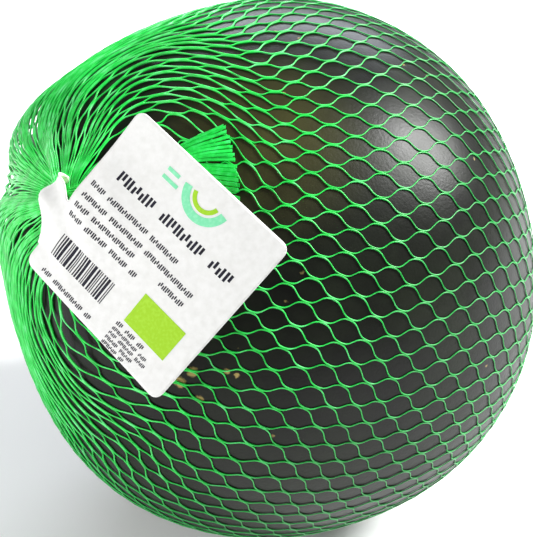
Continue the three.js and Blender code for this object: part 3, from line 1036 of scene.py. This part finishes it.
@dataclass
class PaperLabel:
    """A square sheet with rounded corners and a narrow tab that turns round the neck."""

    place: LabelPlace
    thickness: float = 0.32 * MM
    corner: float = 3 * MM
    grid: float = 1 * MM
    tab_low: float = -23 * MM
    tab_high: float = -6 * MM
    tab_length: float = 15 * MM
    tab_lean: tuple[float, float] = (3.0, 3.5)      # millimetres, on its low and its high side
    print_lift: float = 0.07 * MM
    print_grid: float = 1.5 * MM

    def rounded(self, u: float, v: float) -> tuple[float, float]:
        """Pulls a place that is outside a rounded corner back onto it.

        Args:
            u: along the print.
            v: up the sheet.

        Returns:
            The place, moved where it has to be.
        """
        inset = self.place.side / 2 - self.corner
        du, dv = abs(u) - inset, abs(v) - inset
        reach = math.hypot(max(du, 0), max(dv, 0))
        if du > 0 and dv > 0 and reach > self.corner:
            return (math.copysign(inset + du * self.corner / reach, u),
                    math.copysign(inset + dv * self.corner / reach, v))
        return u, v

    def on_tab(self, u: float, v: float) -> tuple[float, float]:
        """Leans the tab upwards towards its free end.

        Args:
            u: past the sheet's edge, the length along the tab.
            v: up the sheet.

        Returns:
            The place, moved where it is on the tab.
        """
        past = -self.place.side / 2 - u
        if past <= 0:
            return u, v
        flare = float(smoothstep(0, 6 * MM, past))
        share = (v - self.tab_low) / (self.tab_high - self.tab_low)
        low, high = self.tab_lean
        return u, v + flare * (share * high * MM + (1 - share) * low * MM)

    def sheet(self) -> bpy.types.Object:
        """Makes the paper.

        Returns:
            The piece that stands for the CAD label.
        """
        half = self.place.side / 2
        columns = round((self.place.side + self.tab_length) / self.grid)
        rows = round(self.place.side / self.grid)
        shape = bmesh.new()
        bmesh.ops.create_grid(shape, x_segments=columns, y_segments=rows, size=0.5)
        moved(shape, lambda co: Vector((
            -half - self.tab_length + (co.x + 0.5) * (self.place.side + self.tab_length),
            co.y * self.place.side, 0)))
        beside_tab = [
            face for face in shape.faces
            if face.calc_center_median().x < -half
            and not self.tab_low < face.calc_center_median().y < self.tab_high]
        bmesh.ops.delete(shape, geom=beside_tab, context="FACES")

        def lay(co: Vector) -> Vector:
            """The place in the frame of a place on the flat sheet."""
            u, v = self.rounded(co.x, co.y) if co.x > -half - 0.1 * MM else self.on_tab(co.x, co.y)
            return self.place.point(u, v)

        moved(shape, lay)
        white = LabelPaper().make()
        # the back is cream paper, painted lighter than the face so that the shade on the turned tab is
        # lifted: partly painted light
        cream_with_painted_light = LabelPaper(name="paper_reverse_cream_painted_light", white="f3f4e4", shade="e8ead2").make()
        piece = new_piece("label_sheet", mesh_of(shape, "label_sheet"), [white, cream_with_painted_light], Slot.PAPER, "label")
        wall = piece.modifiers.new("thickness", "SOLIDIFY")
        wall.thickness = self.thickness
        wall.offset = -1
        wall.material_offset = 1
        wall.material_offset_rim = 0
        return piece

    def bar(self, shape: bmesh.types.BMesh, u0: float, v0: float, u1: float, v1: float) -> None:
        """Adds one flat rectangle of print, split finely enough to bend.

        Args:
            shape: the print to add to.
            u0: its left side, in millimetres.
            v0: its lower side.
            u1: its right side.
            v1: its upper side.
        """
        width, height = (u1 - u0) * MM, (v1 - v0) * MM
        columns, rows = (max(1, round(size / self.print_grid)) for size in (width, height))
        made = bmesh.ops.create_grid(shape, x_segments=columns, y_segments=rows, size=0.5)
        for vertex in made["verts"]:
            across, along = vertex.co.x + 0.5, vertex.co.y + 0.5
            vertex.co = Vector((u0 * MM + across * width, v0 * MM + along * height, 0))

    def words(self, shape: bmesh.types.BMesh, u: float, v: float, lengths: tuple[int, ...],
              size: float, pitch: float) -> None:
        """Adds a line of plain upright strokes, two to a block, that stands for words.

        Args:
            shape: the print to add to.
            u: where the line starts, in millimetres.
            v: its base line, in millimetres.
            lengths: how many blocks each word has.
            size: the blocks' height, in millimetres.
            pitch: from one block to the next, in millimetres.
        """
        step = 0
        for length in lengths:
            for block in range(length):
                start = u + (step + block) * pitch
                kind = (3 * block + length) % 4
                strokes = ((0.0, 0.0, (1.0, 1.0, 0.7, 0.7)[kind]), (0.46, (0.0, 0.3)[kind % 2], 1.0))
                for side, low, high in strokes:
                    left = start + side * pitch
                    self.bar(shape, left, v + low * size, left + 0.3 * pitch, v + high * size)
            step += length + 1

    def stripes(self, shape: bmesh.types.BMesh) -> None:
        """Adds a block of upright stripes of mixed widths, which encodes nothing.

        Args:
            shape: the print to add to.
        """
        u = -25.0
        widths = (0.3, 0.6, 0.3, 0.9, 0.4, 0.3, 1.0, 0.3, 0.6)
        for number in range(24):
            width = widths[(number * 4) % len(widths)]
            self.bar(shape, u, -22.0, u + width, -14.2)
            u += width + (0.35 if number % 3 else 0.6)

    def arc(self, shape: bmesh.types.BMesh, centre: tuple[float, float], inner: float, outer: float,
            start: float, turn: float) -> None:
        """Adds a curved band of print: an edge spun about a centre.

        Args:
            shape: the print to add to.
            centre: the middle of its curve, in millimetres.
            inner: its inner radius, in millimetres.
            outer: its outer radius, in millimetres.
            start: the angle that it starts at.
            turn: the angle that it runs through.
        """
        ends = [shape.verts.new((centre[0] * MM + radius * MM * math.cos(start),
                                 centre[1] * MM + radius * MM * math.sin(start), 0))
                for radius in (inner, outer)]
        edge = shape.edges.new(ends)
        bmesh.ops.spin(shape, geom=[*ends, edge], cent=(centre[0] * MM, centre[1] * MM, 0), axis=(0, 0, 1),
                       angle=turn, steps=24, use_merge=False)

    def printed(self, name: str, shape: bmesh.types.BMesh, ink: Ink) -> bpy.types.Object:
        """Lays print on the paper's face as one piece.

        Args:
            name: the piece's name.
            shape: the flat print.
            ink: its ink.

        Returns:
            The piece.
        """
        moved(shape, lambda co: self.place.point(co.x, co.y, self.print_lift))
        bmesh.ops.recalc_face_normals(shape, faces=shape.faces)
        outwards = Vector(self.place.out)
        flipped = [face for face in shape.faces if face.normal.dot(outwards) < 0]
        bmesh.ops.reverse_faces(shape, faces=flipped)
        return new_piece(name, mesh_of(shape, name), [ink.make()], Slot.PAPER)

    def print_face(self) -> None:
        """Prints plain generic matter: strokes for words, stripes, a lime block, a melon slice."""
        text = bmesh.new()
        self.words(text, -22.5, 9.6, (5, 6, 3), 3.3, 2.9)
        self.words(text, -27.5, 3.2, (4, 11, 8), 1.7, 1.42)
        self.words(text, -27.5, -1.1, (7, 9, 14), 1.7, 1.42)
        self.words(text, -27.5, -4.9, (4, 12), 1.7, 1.42)
        self.words(text, 7.5, -4.9, (7,), 1.7, 1.42)
        self.words(text, -27.5, -8.7, (4, 6, 5, 2), 1.7, 1.42)
        self.words(text, -24, -28.2, (3, 10, 2), 1.5, 1.3)
        self.words(text, 5, -22.6, (2, 3, 2), 1.4, 1.3)
        for line, lengths in enumerate(((10, 3), (3, 6, 4), (5, 5), (6, 2))):
            self.words(text, 5, -24.5 - 1.75 * line, lengths, 1.15, 1.05)
        self.stripes(text)
        self.printed("label_text_blocks", text, Ink("thermal_print_violet_black"))
        lime = bmesh.new()
        self.bar(lime, 6.3, -20, 23.4, -9.2)
        slice_at = (2.5, 24.6)
        self.arc(lime, slice_at, 3.6, 5.0, math.radians(192), math.radians(156))
        self.printed("label_lime_block", lime, Ink("flexo_ink_lime", "9fd21c", "a9da34"))
        mint = bmesh.new()
        self.arc(mint, slice_at, 5.8, 8.4, math.radians(188), math.radians(164))
        self.bar(mint, -12.5, 22.4, -8, 23.6)
        self.bar(mint, -12.5, 19.6, -6.6, 20.8)
        self.printed("label_melon_slice", mint, Ink("flexo_ink_mint", "7fe3ae", "95e9bd"))

    def build(self) -> None:
        """Makes the label and its print."""
        self.sheet()
        self.print_face()


# ---- the studio -----------------------------------------------------------------------------


@dataclass
class Studio:
    """A pale floor, soft lights and the camera."""

    centre: Vector
    radius: float
    elevation: float = math.radians(35)
    distance: float = 6.0               # from the fruit's centre, in fruit radii
    lens: float = 105.9
    sensor: float = 36.0
    shift_x: float = -0.003
    surround: float = 0.38              # the even light from all round

    def camera(self) -> None:
        """Places the camera in front, looking down on the fruit."""
        data = bpy.data.cameras.new("camera")
        data.lens, data.sensor_width, data.shift_x = self.lens, self.sensor, self.shift_x
        camera = bpy.data.objects.new("camera", data)
        back = Vector((0, -math.cos(self.elevation), math.sin(self.elevation)))
        camera.location = self.centre + back * self.distance * self.radius
        camera.rotation_euler = (-back).to_track_quat("-Z", "Y").to_euler()
        bpy.context.collection.objects.link(camera)
        bpy.context.scene.camera = camera

    def floor(self) -> None:
        """Lays the pale floor."""
        shape = bmesh.new()
        bmesh.ops.create_grid(shape, x_segments=8, y_segments=8, size=4.0)
        ground = bpy.data.objects.new("floor", mesh_of(shape, "floor"))
        bpy.context.collection.objects.link(ground)
        material = bpy.data.materials.new("matt_white_paper_sweep")
        material.use_nodes = True
        shader = material.node_tree.nodes["Principled BSDF"]
        shader.inputs["Base Color"].default_value = linear("fbfbfb")
        shader.inputs["Roughness"].default_value = 0.9
        shader.inputs["Specular IOR Level"].default_value = 0.1
        ground.data.materials.append(material)

    def softbox(self, name: str, towards: tuple[float, float, float], away: float,
                size: tuple[float, float], power: float, colour: str = "ffffff") -> None:
        """Hangs one rectangular soft light that faces the fruit.

        Args:
            name: the light's name.
            towards: the direction from the fruit to the light.
            away: its distance, in metres.
            size: its width and height, in metres.
            power: watts.
            colour: its sRGB colour.
        """
        data = bpy.data.lights.new(name, "AREA")
        data.shape, data.size, data.size_y = "RECTANGLE", size[0], size[1]
        data.energy, data.color = power, linear(colour)[:3]
        light = bpy.data.objects.new(name, data)
        back = Vector(towards).normalized()
        light.location = self.centre + back * away
        light.rotation_euler = (-back).to_track_quat("-Z", "Y").to_euler()
        bpy.context.collection.objects.link(light)

    def lights(self) -> None:
        """Hangs the lights and sets a dim even surround."""
        self.softbox("window_right", (0.746, 0.185, 0.640), 1.07, (0.32, 0.42), 27)
        self.softbox("strip_behind", (0.06, 0.897, 0.41), 1.3, (1.0, 0.3), 11, "eef3ff")
        self.softbox("front_left", (-0.79, -0.459, 0.41), 1.5, (0.8, 0.8), 14)
        world = bpy.data.worlds.new("surround")
        world.use_nodes = True
        world.node_tree.nodes["Background"].inputs["Color"].default_value = grey(1.0)
        world.node_tree.nodes["Background"].inputs["Strength"].default_value = self.surround
        bpy.context.scene.world = world
        bpy.context.scene.view_settings.view_transform = "Standard"

    def build(self) -> None:
        """Sets up the whole studio."""
        self.camera()
        self.floor()
        self.lights()


def main() -> None:
    """Builds the object and the studio round it."""
    logging.basicConfig(level=logging.INFO, format="%(name)s: %(message)s")
    fruit = Watermelon()
    Studio(centre=Vector(fruit.centre), radius=fruit.equator).build()
    fruit.build()
    place = LabelPlace(fruit)
    net = CarryingNet(fruit, place)
    net.build()
    Fringe(net).build()
    WireClips().build()
    PaperLabel(place).build()


if __name__ == "__main__":
    main()
